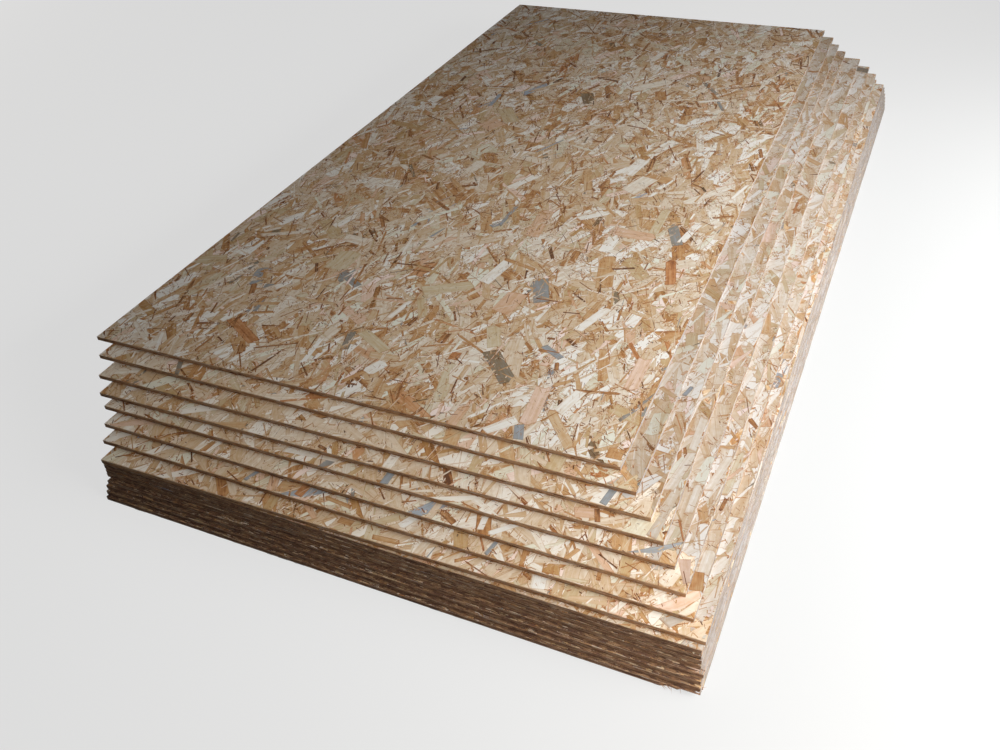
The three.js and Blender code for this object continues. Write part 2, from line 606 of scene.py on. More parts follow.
# %% [markdown]
# ### Where strands fall, and how they lie
#
# Broad strands fall evenly, and small scraps gather in clumps. The density of points can't follow
# a noise within one flat face, so too many points are made, and the noise decides which are lost.
# Most strands lean one way with some spread, and a share of strays points anywhere.

# %% Tree part: points, lean and size
CLUMPS_PER_METRE = 26
CLUMP_FROM, CLUMP_TO, CLUMP_CROWD = 0.50, 0.64, 4.0
SHEETS_APART = (5.0, 5.0, 5.0)  # gives every sheet clumps in other places
NARROW_FAVOURED = 1.6  # 1 would make all widths equally common


def scatter_points(tree, given):
    """Points on the patch. Where clumps are asked for, too many are made and noise thins them."""
    most = mix(tree, given["Clumps"], 1.0, CLUMP_CROWD)
    density = maths(tree, "MULTIPLY", given["Density"], most)
    inputs = {"Mesh": given["Patch"], "Density": density, "Seed": given["Seed"]}
    points = geometry_of(tree, "DistributePointsOnFaces", inputs, distribute_method="RANDOM")
    here = geometry_of(tree, "InputPosition")
    here = vector_maths(tree, "MULTIPLY_ADD", given["Place"], SHEETS_APART, here)
    dust = noise(tree, here, CLUMPS_PER_METRE)
    crowd = {"Value": dust, 1: CLUMP_FROM, 2: CLUMP_TO, 4: CLUMP_CROWD}
    clump = output_of(tree, "ShaderNodeMapRange", crowd)
    chance = maths(tree, "DIVIDE", mix(tree, given["Clumps"], 1.0, clump), most)
    lost = maths(tree, "GREATER_THAN", random_value(tree, given, "loss"), chance)
    thinned = {"Geometry": points, "Selection": lost}
    return geometry_of(tree, "DeleteGeometry", thinned, domain="POINT")


def lean_of_strand(tree, given):
    stray = maths(tree, "LESS_THAN", random_value(tree, given, "stray"), given["Stray Share"])
    spread = bell(tree, given, "lean")
    lined_up = maths(tree, "MULTIPLY_ADD", spread, given["Lean Spread"], given["Lean"])
    anywhere = random_value(tree, given, "stray lean", -math.pi / 2, math.pi / 2)
    return mix(tree, stray, lined_up, anywhere)


def size_of_strand(tree, given):
    """Width and length. Narrow strands are more common than wide ones."""
    width_roll = maths(tree, "POWER", random_value(tree, given, "width"), NARROW_FAVOURED)
    width = mix(tree, width_roll, given["Least Width"], given["Most Width"])
    length_roll = random_value(tree, given, "length")
    return width, mix(tree, length_roll, given["Least Length"], given["Most Length"])


print("clumps:", round(1000 / CLUMPS_PER_METRE), "mm apart")

# %% [markdown]
# ### The tone of a strand
#
# A strand's tone is drawn at random, but strands that lean to the right catch the light along
# their fibres and look whiter. On a sawn edge a slope makes the tone paler towards the top, a
# painted shade that darkens the foot.

# %% Tree part: tone
SHEEN_LEAN, SHEEN_WIDTH, SHEEN_MEAN = math.radians(24), math.radians(30), 0.4


def tone_of_strand(tree, given, lean):
    spread = bell(tree, given, "tone")
    tone = maths(tree, "MULTIPLY_ADD", spread, given["Tone Spread"], given["Tone"])
    off_sheen = maths(tree, "DIVIDE", maths(tree, "SUBTRACT", lean, SHEEN_LEAN), SHEEN_WIDTH)
    peak = maths(tree, "MULTIPLY", maths(tree, "POWER", off_sheen, 2.0), -1.0)
    sheen = maths(tree, "SUBTRACT", maths(tree, "EXPONENT", peak), SHEEN_MEAN)
    tone = maths(tree, "MULTIPLY_ADD", sheen, given["Sheen"], tone)
    height = split_axes(tree, geometry_of(tree, "InputPosition"))[1]
    tone = maths(tree, "MULTIPLY_ADD", height, given["Tone Slope"], tone)
    return maths(tree, "MAXIMUM", tone, given["Least Tone"])


print("whitest lean:", round(math.degrees(SHEEN_LEAN)), "degrees")

# %% [markdown]
# ### Shapes, trim and place
#
# Each point gets one of the shapes, scaled, leaned, and rolled a hair about its length, so that a
# long side lifts. What would hang over the sheet's edge is pushed back, as the saw trims it. At
# the end the patch is moved to its place on the sheet.

# %% Tree: lay strands
MOST_ROLL = 0.06  # radians
GRAIN_REACH = 9.0  # metres within which each strand takes its own stretch of grain


def place_shapes(tree, given, points, lean, width, size):
    source = {"Collection": given["Shapes"], "Separate Children": True, "Reset Children": True}
    choice = {4: 0, 5: given["Shape Count"], 8: given["Seed"]}
    roll = maths(tree, "MULTIPLY", bell(tree, given, "roll"), given["Rise"])
    roll = maths(tree, "DIVIDE", roll, maths(tree, "MULTIPLY", width, 0.5))
    roll = maths(tree, "MAXIMUM", maths(tree, "MINIMUM", roll, MOST_ROLL), -MOST_ROLL)
    spin = join_axes(tree, y=roll, z=maths(tree, "MULTIPLY", lean, -1.0))
    laying = {
        "Points": points,
        "Instance": geometry_of(tree, "CollectionInfo", source),
        "Pick Instance": True,
        "Instance Index": node(tree, "FunctionNodeRandomValue", choice, data_type="INT").outputs[2],
        "Rotation": output_of(tree, "FunctionNodeEulerToRotation", {0: spin}),
        "Scale": size,
    }
    laid = geometry_of(tree, "InstanceOnPoints", laying)
    return geometry_of(tree, "RealizeInstances", {"Geometry": laid})


def store_place_and_inset(tree, laid):
    """Where each corner is on its own strand, and how far in from the rim."""
    own, size, shift = (named(tree, name, "FLOAT_VECTOR") for name in ("own_place", "size", "shift"))
    own = vector_maths(tree, "ADD", vector_maths(tree, "MULTIPLY", own, size), shift)
    laid = store(tree, laid, "place", own, "FLOAT_VECTOR")
    inset = maths(tree, "MULTIPLY", named(tree, "inset"), named(tree, "half_width"))
    return store(tree, laid, "inset", inset)


def trim_and_place(tree, given, laid):
    here = geometry_of(tree, "InputPosition")
    trimmed = vector_maths(tree, "MAXIMUM", here, given["Trim Low"])
    trimmed = vector_maths(tree, "MINIMUM", trimmed, given["Trim High"])
    laid = geometry_of(tree, "SetPosition", {"Geometry": laid, "Position": trimmed})
    for name in ("own_place", "size", "shift", "half_width", "id"):
        laid = geometry_of(tree, "RemoveAttribute", {"Geometry": laid, "Name": name})
    turn = output_of(tree, "FunctionNodeEulerToRotation", {0: given["Turn"]})
    move = {"Geometry": laid, "Translation": given["Place"], "Rotation": turn}
    return geometry_of(tree, "Transform", move)


def make_lay_strands():
    inputs = [(label, kind, default) for kind, some in LAY_INPUTS.items() for label, default in some.items()]
    outputs = [("Strands", "NodeSocketGeometry")]
    tree, given, result = new_group("lay strands", "GeometryNodeTree", inputs, outputs)
    points = scatter_points(tree, given)
    lean = lean_of_strand(tree, given)
    width, length = size_of_strand(tree, given)
    size = join_axes(tree, width, length, given["Thickness"])
    shift = [random_value(tree, given, draw, 0.0, GRAIN_REACH) for draw in ("across", "along")]
    for name, value, kind in (
        ("tone", tone_of_strand(tree, given, lean), "FLOAT"),
        ("kind", random_value(tree, given, "kind"), "FLOAT"),
        ("size", size, "FLOAT_VECTOR"),
        ("half_width", maths(tree, "MULTIPLY", width, 0.5), "FLOAT"),
        ("shift", join_axes(tree, *shift), "FLOAT_VECTOR"),
    ):
        points = store(tree, points, name, value, kind)
    proud = random_value(tree, given, "proud", given["Least Proud"], given["Most Proud"])
    points = geometry_of(tree, "SetPosition", {"Geometry": points, "Offset": join_axes(tree, z=proud)})

    laid = place_shapes(tree, given, points, lean, width, size)
    laid = trim_and_place(tree, given, store_place_and_inset(tree, laid))
    laid = geometry_of(tree, "SetMaterial", {"Geometry": laid, "Material": given["Wood"]})
    tree.links.new(laid, result["Strands"])
    return tree


lay_strands = make_lay_strands()
print("lay strands:", len(lay_strands.nodes), "nodes")

# %% [markdown]
# ## Running the tree
#
# A flat patch bears the tree as a modifier, whose settings are made before the patch is first
# evaluated. The result is copied into a plain mesh, and the modifier goes. Several runs, each with
# its own sort of strand, are then joined into one piece.

# %% Run the tree on a patch
DEEP = 1.0  # far below or above any strand: no trim in that direction


def run_tree(mesh, settings):
    """The mesh that the tree lays on a flat patch."""
    bearer = bpy.data.objects.new("patch", mesh)
    bpy.context.scene.collection.objects.link(bearer)
    modifier = bearer.modifiers.new("lay strands", "NODES")
    modifier.node_group = lay_strands
    for item in lay_strands.interface.items_tree:
        if item.in_out == "INPUT" and item.name in settings:
            modifier[item.identifier] = settings[item.name]
    bpy.context.view_layer.update()
    evaluated = bearer.evaluated_get(bpy.context.evaluated_depsgraph_get())
    laid = bpy.data.meshes.new_from_object(evaluated)
    bearer.modifiers.clear()
    bpy.data.objects.remove(bearer)
    laid.materials.clear()
    laid.materials.append(settings["Wood"])
    laid.polygons.foreach_set("material_index", [0] * len(laid.polygons))
    return laid


def rectangle(left, right, low, high):
    return [(left, low), (right, low), (right, high), (left, high)]


def patch_mesh(outline):
    mesh = bpy.data.meshes.new("patch")
    mesh.from_pydata([(x, y, 0.0) for x, y in outline], [], [tuple(range(len(outline)))])
    return mesh


def join_meshes(name, meshes):
    """One mesh of them all, in which every face keeps its own wood."""
    woods = {mesh.materials[0].name: mesh.materials[0] for mesh in meshes}
    slots = {wood: slot for slot, wood in enumerate(woods)}
    joined = bmesh.new()
    for mesh in meshes:
        slot = slots[mesh.materials[0].name]
        mesh.polygons.foreach_set("material_index", [slot] * len(mesh.polygons))
        joined.from_mesh(mesh)
    result = finished(joined, name)
    for wood in woods.values():
        result.materials.append(wood)
    return result


def add_piece(name, meshes):
    piece = bpy.data.objects.new(name, join_meshes(name, meshes))
    bpy.context.scene.collection.objects.link(piece)
    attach(piece, "root")
    piece.data.calc_loop_triangles()
    print(f"{name}: {len(piece.data.loop_triangles)} triangles")


print("the runs use", lay_strands.name)

# %% [markdown]
# ## Sorts of strand on a face
#
# A face has broad strands below, narrower ones over them, and slivers over those. Last come brown
# strands, curls of torn wood, dark holes and small white chips, the last three in clumps. Each
# sort is one run of the tree. How far a strand stands proud decides which lies on top, all within
# the 0.3 mm that is left between two sheets.

# %% Sorts
Sort = namedtuple(
    "Sort",
    "per_square_metre length width proud tone least_tone tone_spread lean_spread stray_share shapes"
    " lean thickness rise sheen tone_slope wood clumps",
    defaults=(3, 0.45, 0.20, 0.40, 0.0, strand_wood, 0.0),
)
AS_GIVEN = (  # inputs of the tree that take a sort's own value
    "Clumps", "Shapes", "Lean Spread", "Stray Share", "Tone Spread", "Least Tone", "Tone Slope", "Sheen",
    "Wood",
)
BROAD = Sort(
    1900, (60, 150), (14, 42), (0.02, 0.20), 0.62, 0.20, 0.42, 0.86, 0.22, wide_shapes, rise=0.02
)
NARROW = Sort(
    1500, (40, 120), (5, 13), (0.05, 0.22), 0.58, 0.06, 0.56, 0.90, 0.24, wide_shapes, rise=0.02
)
SLIVER = Sort(
    3500, (14, 62), (1.3, 4.4), (0.10, 0.26), 0.53, 0.10, 0.66, 0.96, 0.28, sliver_shapes, rise=0.05
)
BROWN = Sort(150, (10, 58), (3, 10), (0.20, 0.27), 0.19, 0.06, 0.20, 1.00, 0.40, wide_shapes, rise=0.05)
CURL = Sort(
    6200, (3, 15), (1.0, 3.0), (0.16, 0.28), 0.27, 0.05, 0.30, 1.20, 0.50, sliver_shapes, clumps=0.7
)
HOLE = Sort(
    420, (2, 8), (1.2, 3.2), (0.18, 0.28), 0.03, 0.0, 0.08, 1.00, 0.50, sliver_shapes, clumps=0.8
)
CHIP = Sort(
    2700, (3, 14), (1.2, 4), (0.16, 0.28), 0.86, 0.0, 0.12, 1.00, 0.50, sliver_shapes, clumps=0.6
)
FACE_SORTS = [BROAD, NARROW, SLIVER, BROWN, CURL, HOLE, CHIP]
SAW_MARGIN = 0.2 * MM

Bed = namedtuple("Bed", "place turn low high")


def lay(sort, outline, bed, seed, lift=0.0):
    """One sort of strand, laid on a flat outline that the bed puts in its place."""
    settings = {label: getattr(sort, label.lower().replace(" ", "_")) for label in AS_GIVEN}
    for label in ("Thickness", "Rise"):
        settings[label] = getattr(sort, label.lower()) * MM
    for label in ("Length", "Width", "Proud"):
        least, most = getattr(sort, label.lower())
        settings[f"Least {label}"], settings[f"Most {label}"] = least * MM, most * MM
    settings["Density"] = float(sort.per_square_metre)
    settings["Seed"] = seed
    settings["Shape Count"] = len(sort.shapes.objects) - 1
    settings["Lean"] = math.radians(sort.lean)
    settings["Tone"] = sort.tone + lift
    settings["Trim Low"], settings["Trim High"] = (*bed.low, -DEEP), (*bed.high, DEEP)
    settings["Place"], settings["Turn"] = bed.place, bed.turn
    return run_tree(patch_mesh(outline), settings)


def face_bed(lie):
    low = (SAW_MARGIN - lie.half_width, SAW_MARGIN - lie.half_length)
    high = (lie.half_width - SAW_MARGIN, lie.half_length - SAW_MARGIN)
    return Bed((lie.middle.x, lie.middle.y, lie.top), (0.0, 0.0, lie.turn), low, high)


PATCH_STEP, SORT_STEP = 101, 1009  # keep the seeds of patches and of sorts apart


def lay_on_face(lie, outline, seed, lift=0.0, sorts=FACE_SORTS):
    bed = face_bed(lie)
    return [
        lay(sort, outline, bed, seed * PATCH_STEP + number * SORT_STEP, lift)
        for number, sort in enumerate(sorts)
    ]


print("sorts on a face:", len(FACE_SORTS))

# %% [markdown]
# ## The top sheet's face
#
# The whole of this face shows, so it is strewn from edge to edge, in four parts, one behind the
# other, because one piece would have several hundred thousand faces. The strands of the back half
# differ more in tone than those of the front half: painted light, as the flatter light there sets
# light and dark strands further apart.

# %% The top sheet's face
top_name = sheet_names[-1]
top_lie = lies[top_name]
TOP_PARTS, TOP_SEED = 4, 500
# painted light: strands of the back half differ more in tone, as the flatter light there sets them apart
GRAZING_LIGHT_CONTRAST = 1.3
BACK_SORTS = [sort._replace(tone_spread=sort.tone_spread * GRAZING_LIGHT_CONTRAST) for sort in FACE_SORTS]
for part in range(TOP_PARTS):
    side, end = top_lie.half_width, top_lie.half_length
    front, back = (-end + 2 * end * line / TOP_PARTS for line in (part, part + 1))
    outline = rectangle(-side, side, front, back)
    sorts = FACE_SORTS if part < TOP_PARTS / 2 else BACK_SORTS
    meshes = lay_on_face(top_lie, outline, TOP_SEED + part, sorts=sorts)
    add_piece(f"top_strands_{part + 1}", meshes)

# %% [markdown]
# ## The strips that show on the lower sheets
#
# Each lower sheet shows an L of its face: a strip in front of the sheet above, and one to the
# right of it. Only there, and a little way under the upper sheet, are strands laid. The strips are
# worked out from the corners of the two sheets. A line of dark crumbs is painted shadow where an
# upper sheet's front edge meets the strip. The strips at the right are painted as strong light
# washes them out: paler in tone, more even and dimmed. In the flush block the strips are ledges a
# few millimetres deep, too narrow for strands: dark ones in front, painted shade with some dust,
# and pale ones at the right.

# %% Strips
UNDER_UPPER = 10 * MM
UNDER_FLUSH = 2 * MM
FRONT_LIFT = 0.10  # how much paler the strips in front are than the top sheet
RIGHT_LIFT, RIGHT_CONTRAST = 0.12, 0.75  # painted light: the strips at the right are paler and more even, as strong light washes them out
SHADE_LINE_DEPTH = 3.2 * MM
FRONT_SEED, RIGHT_SEED, SHADE_LINE_SEED = 900, 1900, 2900
STRIP_SORTS = [
    BROAD._replace(proud=(0.06, 0.24)),
    NARROW._replace(per_square_metre=1200),
    SLIVER._replace(per_square_metre=2600),
    BROWN._replace(per_square_metre=80),
    *FACE_SORTS[4:],
]
FRONT_SORTS = [sort._replace(wood=paler_front_wood) for sort in STRIP_SORTS]
RIGHT_SORTS = [
    sort._replace(wood=light_washed_wood, tone_spread=sort.tone_spread * RIGHT_CONTRAST)
    for sort in STRIP_SORTS
]
# painted shade, with some dust: nearly black strands on the flush block's front ledges
FRONT_LEDGE = Sort(
    70000, (6, 34), (1.2, 3.4), (0.05, 0.28), 0.02, 0.0, 0.20, 0.10, 0.03, sliver_shapes, 90, sheen=0.0,
    wood=shade_and_dust_ledge_wood,
)
RIGHT_LEDGE = Sort(
    50000, (14, 80), (1.2, 3.4), (0.05, 0.28), 0.88, 0.30, 0.20, 0.08, 0.03, sliver_shapes, 0, sheen=0.0,
    wood=side_grain_wood,
)
# painted shadow: a line of dark crumbs where an upper sheet's front edge meets the strip below
SHADE_LINE_CRUMBS = Sort(
    30000, (3, 16), (0.8, 2.0), (0.10, 0.28), 0.20, 0.05, 0.26, 0.30, 0.10, sliver_shapes, 86, sheen=0.0
)


def turned(point, angle):
    return Vector(point[:2]) @ Matrix.Rotation(-angle, 2)


def other_coordinate(start, end, axis, at):
    """Where a line through two points has one coordinate, this is the other one."""
    share = (at - start[axis]) / (end[axis] - start[axis])
    return start[1 - axis] + share * (end[1 - axis] - start[1 - axis])


def strips_of(lie, upper, under):
    """Outlines of what shows in front and at the right, and of the painted shadow of crumbs."""

    def seen(x, y):
        corner = turned((x * upper.half_width, y * upper.half_length), upper.turn)
        return turned(corner + upper.middle - lie.middle, -lie.turn)

    front_left, front_right, back_right = seen(-1, -1), seen(1, -1), seen(1, 1)

    def front_line(x):
        return other_coordinate(front_left, front_right, 0, x)

    def right_line(y):
        return other_coordinate(front_right, back_right, 1, y)

    side, end = lie.half_width, lie.half_length
    start = front_line(side) + under
    inner = right_line(start) - under
    front = [(-side, -end), (side, -end), (side, start), (-side, front_line(-side) + under)]
    right = [(inner, start), (side, start), (side, end), (right_line(end) - under, end)]
    foot = [(x, front_line(x)) for x in (max(front_left.x, -side), min(front_right.x, side))]
    shade_line = [(x, y - SHADE_LINE_DEPTH) for x, y in foot] + foot[::-1]
    return front, right, shade_line


for number, name in enumerate(sheet_names[:-1]):
    lie, upper_name = lies[name], sheet_names[number + 1]
    ledge = upper_name.startswith("flush")
    front, right, shade_line = strips_of(lie, lies[upper_name], UNDER_FLUSH if ledge else UNDER_UPPER)
    bed = face_bed(lie)
    front_seed, right_seed = FRONT_SEED + number, RIGHT_SEED + number
    if ledge:
        meshes = [lay(FRONT_LEDGE, front, bed, front_seed), lay(RIGHT_LEDGE, right, bed, right_seed)]
    else:
        meshes = lay_on_face(lie, front, front_seed, FRONT_LIFT, FRONT_SORTS)
        meshes += lay_on_face(lie, right, right_seed, RIGHT_LIFT, RIGHT_SORTS)
        # painted shadow: the line of dark crumbs under the upper sheet's front edge
        meshes.append(lay(SHADE_LINE_CRUMBS, shade_line, bed, SHADE_LINE_SEED + number))
    add_piece(f"strands_on_{name}", meshes)

# %% [markdown]
# ## Strands in the sawn edges
#
# A side of a sheet is a patch 9 mm high. Its strands lie flat along it, a millimetre high and no
# more than half a millimetre proud, where the saw tore them: long and pale with a few brown flecks
# along the sheet, short and dark across it. Three sheets of the flush block have a paler line
# along the top of their ends, and torn strands make a fringe at the foot of the lowest sheet's
# ends.

# %% Edge wood
# painted shade: the tone slope darkens the foot of each fanned sheet's cut end
END_CUT = Sort(
    30000, (5, 34), (0.6, 2.0), (0.03, 0.45), 0.20, 0.0, 0.28, 0.02, 0.0, sliver_shapes,
    90, 0.7, 0.0, 0.0, END_SHADE_SLOPE / SHEET_PITCH, end_grain_wood,
)
# painted shade, with some dust: strands in the flush block's cut ends are darker and greyer
SHADE_AND_DUST_CUT = END_CUT._replace(
    length=(8, 60), width=(0.6, 1.6), tone=0.20 - FLUSH_SHADE_AND_DUST, tone_spread=0.20, tone_slope=0.0,
    wood=shade_and_dust_end_wood,
)
PALE_RIM = SHADE_AND_DUST_CUT._replace(per_square_metre=10000, length=(8, 50), width=(0.7, 1.2), tone=0.46)
FRINGE = PALE_RIM._replace(
    per_square_metre=20000, length=(5, 26), width=(0.5, 1.1), proud=(0.3, 1.2), thickness=1.5
)
SIDE_CUT = Sort(
    15000, (14, 95), (0.5, 1.5), (0.03, 0.45), 0.92, 0.0, 0.22, 0.02, 0.0, sliver_shapes,
    90, 0.7, 0.0, 0.0, 0.0, side_grain_wood,
)
SIDE_FLECK = SIDE_CUT._replace(per_square_metre=1300, length=(5, 40), tone=0.30, tone_spread=0.24)
PALE_RIM_SHEETS = ("flush_sheet_2", "flush_sheet_4", "flush_sheet_6")
RIM_HEIGHT = 1.2 * MM
FACINGS = {"front": 0, "right": 90, "back": 180, "left": 270}  # degrees from the front
EDGE_SEED, SHEET_STEP, SECOND_SORT = 3000, 10, 5  # for the runs' seeds
EDGE_MARGIN = 0.15 * MM  # the saw's trim
ON_SIDE_WITHIN = 0.1 * MM
STRAND_MARGIN = 0.5 * MM  # middles of strands stay inside the trim, or their faces would shut


def side_span(name, lie, side):
    """From where to where a side of the sheet is straight, seen facing it, in its own frame."""
    across = side in ("front", "back")
    sign = 1 if side in ("back", "right") else -1
    reach = lie.half_length if across else lie.half_width
    along = []
    for vertex in frame["nodes"][name].data.vertices:
        x, y = turned(Vector(vertex.co[:2]) - lie.middle, -lie.turn)
        if abs((y if across else x) - sign * reach) < ON_SIDE_WITHIN:
            along.append(x if across else y)
    low, high = min(along), max(along)
    return (low, high) if side in ("front", "right") else (-high, -low)


def lay_on_edge(name, side, seed):
    lie = lies[name]
    across = side in ("front", "back")
    facing = math.radians(FACINGS[side]) + lie.turn
    low, high = side_span(name, lie, side)
    reach = lie.half_length if across else lie.half_width
    middle = turned((0, -reach), facing) + lie.middle
    height = lie.top - lie.under
    bed = Bed(
        (middle.x, middle.y, lie.under),
        (math.pi / 2, 0.0, facing),
        (low + EDGE_MARGIN, EDGE_MARGIN),
        (high - EDGE_MARGIN, height - EDGE_MARGIN),
    )
    low, high = low + STRAND_MARGIN, high - STRAND_MARGIN
    foot, brim = STRAND_MARGIN, height - STRAND_MARGIN
    whole = (foot, brim)
    runs = [(END_CUT if name.startswith("fanned") else SHADE_AND_DUST_CUT, whole)]
    if not across:
        runs = [(SIDE_CUT, whole), (SIDE_FLECK, whole)]
    elif name in PALE_RIM_SHEETS:
        runs.append((PALE_RIM, (height - RIM_HEIGHT, brim)))
    elif name == sheet_names[0]:
        runs.append((FRINGE, (foot, RIM_HEIGHT)))
    return [
        lay(sort, rectangle(low, high, *span), bed, seed + SECOND_SORT * place)
        for place, (sort, span) in enumerate(runs)
    ]


for number, name in enumerate(sheet_names):
    meshes = []
    for side, facing in FACINGS.items():
        seed = EDGE_SEED + SHEET_STEP * number + facing // 90
        meshes += lay_on_edge(name, side, seed)
    add_piece(f"edge_strands_of_{name}", meshes)

# %% [markdown]
# ## Strands that catch the eye
#
# A few strands stand out by their size or their hue, and a sheet is known by them. Chance would
# never bring them back, so these are placed one by one. A row gives the middle of a strand in its
# sheet's own frame, its width and length in millimetres, how many degrees it leans to the right,
# and its wood. They lie on top of nearly all the others.

# %% Placed strands
PLACED_PROUD = 0.262 * MM
PLACED_THICKNESS = 0.5 * MM
PLACED_STEP = 0.0004 * MM  # keeps two placed strands that cross from lying at one height
RIGHT_STRIP_FROM, SHEET_EDGE = 550, 611  # mm across; the strips at the right take the wood painted as washed out by strong light
WOODS = {  # each wood's tone and kind
    "white": (0.96, 0.0),
    "cream": (0.84, 0.0),
    "peach": (0.56, 0.96),
    "tan": (0.46, 0.0),
    "orange": (0.25, 0.0),
    "rust": (0.20, 0.96),
    "brown": (0.12, 0.0),
    "dark": (0.03, 0.0),
    "sage": (0.64, 0.86),
    "moss": (0.56, 0.86),
    "pink": (0.70, 0.96),
    "slate": (0.80, 0.99),
}
Placed = namedtuple("Placed", "x y width length lean wood")
ON_TOP_SHEET = [
    (130, -690, 30, 110, 10, "white"), (50, -790, 38, 125, 60, "sage"),
    (410, -800, 22, 115, 20, "white"), (560, -950, 29, 115, 0, "pink"),
    (390, -420, 40, 105, 90, "peach"), (460, -1080, 25, 85, 15, "white"),
    (370, -940, 16, 60, -60, "slate"), (170, -640, 12, 95, -75, "orange"),
    (530, -880, 10, 60, -35, "rust"), (400, -1110, 32, 125, -5, "pink"),
    (470, -1160, 22, 120, -40, "tan"), (210, -800, 50, 90, 5, "peach"),
    (-10, -1030, 28, 100, -60, "sage"), (230, -930, 30, 80, -25, "sage"),
    (180, -1020, 22, 28, 0, "rust"), (130, -970, 18, 40, 0, "brown"),
    (40, -1110, 30, 50, 25, "white"), (400, -1195, 20, 45, -20, "slate"),
    (360, -1190, 25, 75, 40, "white"), (590, -1190, 30, 30, 0, "orange"),
    (-15, -905, 14, 85, 10, "white"), (30, -880, 22, 85, -30, "moss"),
    (520, -560, 25, 110, -15, "rust"), (320, -160, 50, 110, 20, "cream"),
    (280, -60, 36, 110, 10, "white"), (260, -360, 20, 90, 50, "white"),
    (460, -60, 6, 80, 10, "dark"), (510, -160, 25, 170, 35, "cream"),
    (430, -340, 24, 150, 0, "sage"), (-210, 170, 50, 120, -35, "moss"),
    (-230, 90, 60, 70, 30, "peach"), (150, 530, 40, 160, 45, "cream"),
    (30, 440, 16, 110, -20, "brown"), (30, 880, 10, 100, 0, "brown"),
    (-250, -760, 60, 90, 0, "sage"), (-570, -860, 36, 80, 65, "moss"),
    (-310, -1090, 26, 120, -60, "rust"), (-390, -940, 14, 45, -25, "brown"),
    (370, 460, 14, 90, 60, "white"), (10, -240, 24, 110, 25, "white"),
]
PLACED_ON = {
    "fanned_sheet_1": [
        (-60, -1195, 14, 30, 90, "orange"), (30, -1208, 11, 55, 85, "orange"),
        (320, -1200, 26, 34, -10, "white"), (-240, -1195, 3, 34, -10, "dark"),
    ],
    "fanned_sheet_2": [
        (595, -1145, 26, 42, -15, "orange"), (600, -1100, 20, 60, 0, "cream"),
        (600, -725, 13, 32, -45, "brown"), (595, -960, 7, 35, 5, "brown"),
        (-145, -1195, 18, 36, 5, "rust"), (-65, -1200, 9, 60, -85, "orange"),
        (-260, -1195, 9, 40, 20, "slate"), (80, -1195, 18, 42, 25, "white"),
        (225, -1195, 4, 40, -35, "rust"), (245, -1200, 8, 38, 10, "slate"),
    ],
    "fanned_sheet_3": [
        (600, -1175, 22, 55, -25, "pink"), (595, -930, 16, 110, 10, "cream"),
        (470, -1200, 3, 45, -65, "dark"), (170, -1205, 14, 42, -60, "brown"),
        (235, -1195, 12, 36, -5, "white"), (275, -1195, 12, 60, 45, "white"),
    ],
    "fanned_sheet_4": [
        (600, -1140, 5, 50, -25, "rust"), (600, -1060, 14, 80, 0, "cream"),
        (585, 65, 6, 70, 0, "rust"), (-115, -1195, 18, 125, 85, "cream"),
        (55, -1200, 16, 40, 0, "slate"),
    ],
    "fanned_sheet_5": [
        (600, -935, 15, 105, 0, "cream"), (595, -1045, 20, 120, 10, "cream"),
        (485, -1200, 10, 32, -20, "brown"), (465, -1200, 24, 45, 75, "peach"),
        (590, -820, 6, 60, 35, "cream"), (-70, -1210, 8, 22, -75, "dark"),
    ],
    "fanned_sheet_6": [
        (525, -1195, 14, 45, 10, "slate"), (600, -1110, 12, 26, -70, "tan"),
        (585, -865, 9, 36, 15, "slate"),
    ],
    "fanned_sheet_7": [(590, -935, 12, 45, -60, "tan")],
    "fanned_sheet_8": ON_TOP_SHEET,
}


def placed_mesh(bed, strands, wood):
    """The strands as one mesh, laid on the bed, with the attributes that the wood reads."""
    made = bmesh.new()
    layers = made.verts.layers
    tone_layer, kind_layer, inset_layer = (layers.float.new(n) for n in ("tone", "kind", "inset"))
    place_layer = layers.float_vector.new("place")
    for number, strand in enumerate(strands):
        tone, kind = WOODS[strand.wood]
        width, length = strand.width * MM, strand.length * MM
        lean = Matrix.Rotation(-math.radians(strand.lean), 2)
        outline = [Vector(p) for p in WIDE_OUTLINES[number % len(WIDE_OUTLINES)]]
        centre = sum(outline, Vector((0.0, 0.0))) / len(outline)
        top = PLACED_PROUD - number * PLACED_STEP

        def vertex(point, height, inset):
            own = Vector((point.x * width, point.y * length))
            x, y = lean @ own + Vector((strand.x, strand.y)) * MM
            x = min(max(x, bed.low[0]), bed.high[0])
            y = min(max(y, bed.low[1]), bed.high[1])
            corner = Vector((x, y, height))
            corner.rotate(Euler(bed.turn))
            added = made.verts.new(corner + Vector(bed.place))
            added[tone_layer], added[kind_layer], added[inset_layer] = tone, kind, inset
            added[place_layer] = (own.x + number, own.y, 0.0)
            return added

        ring = [vertex(point, top, 0.0) for point in outline]
        middle = vertex(centre, top, width / 2)
        close_round(made, ring, middle, vertex(centre, top - PLACED_THICKNESS, width / 2))
    return finished(made, "placed", wood)


for name, rows in PLACED_ON.items():
    strands = [Placed(*row) for row in rows]
    right_from = RIGHT_STRIP_FROM if name != top_name else SHEET_EDGE
    woods = {
        strand_wood: [strand for strand in strands if strand.x < right_from],
        light_washed_wood: [strand for strand in strands if strand.x >= right_from],
    }
    bed = face_bed(lies[name])
    meshes = [placed_mesh(bed, some, wood) for wood, some in woods.items() if some]
    add_piece(f"placed_strands_on_{name}", meshes)

# %% [markdown]
# ## Splinters
#
# The lowest sheet's front right corner broke off, and a break in strand board leaves splinters:
# thin spikes of wood, each a spindle of six faces, rooted a few millimetres inside the break and
# pointing outwards. Three more hang over the front edge of the lowest fanned sheet, where a strand
# of its face is torn.

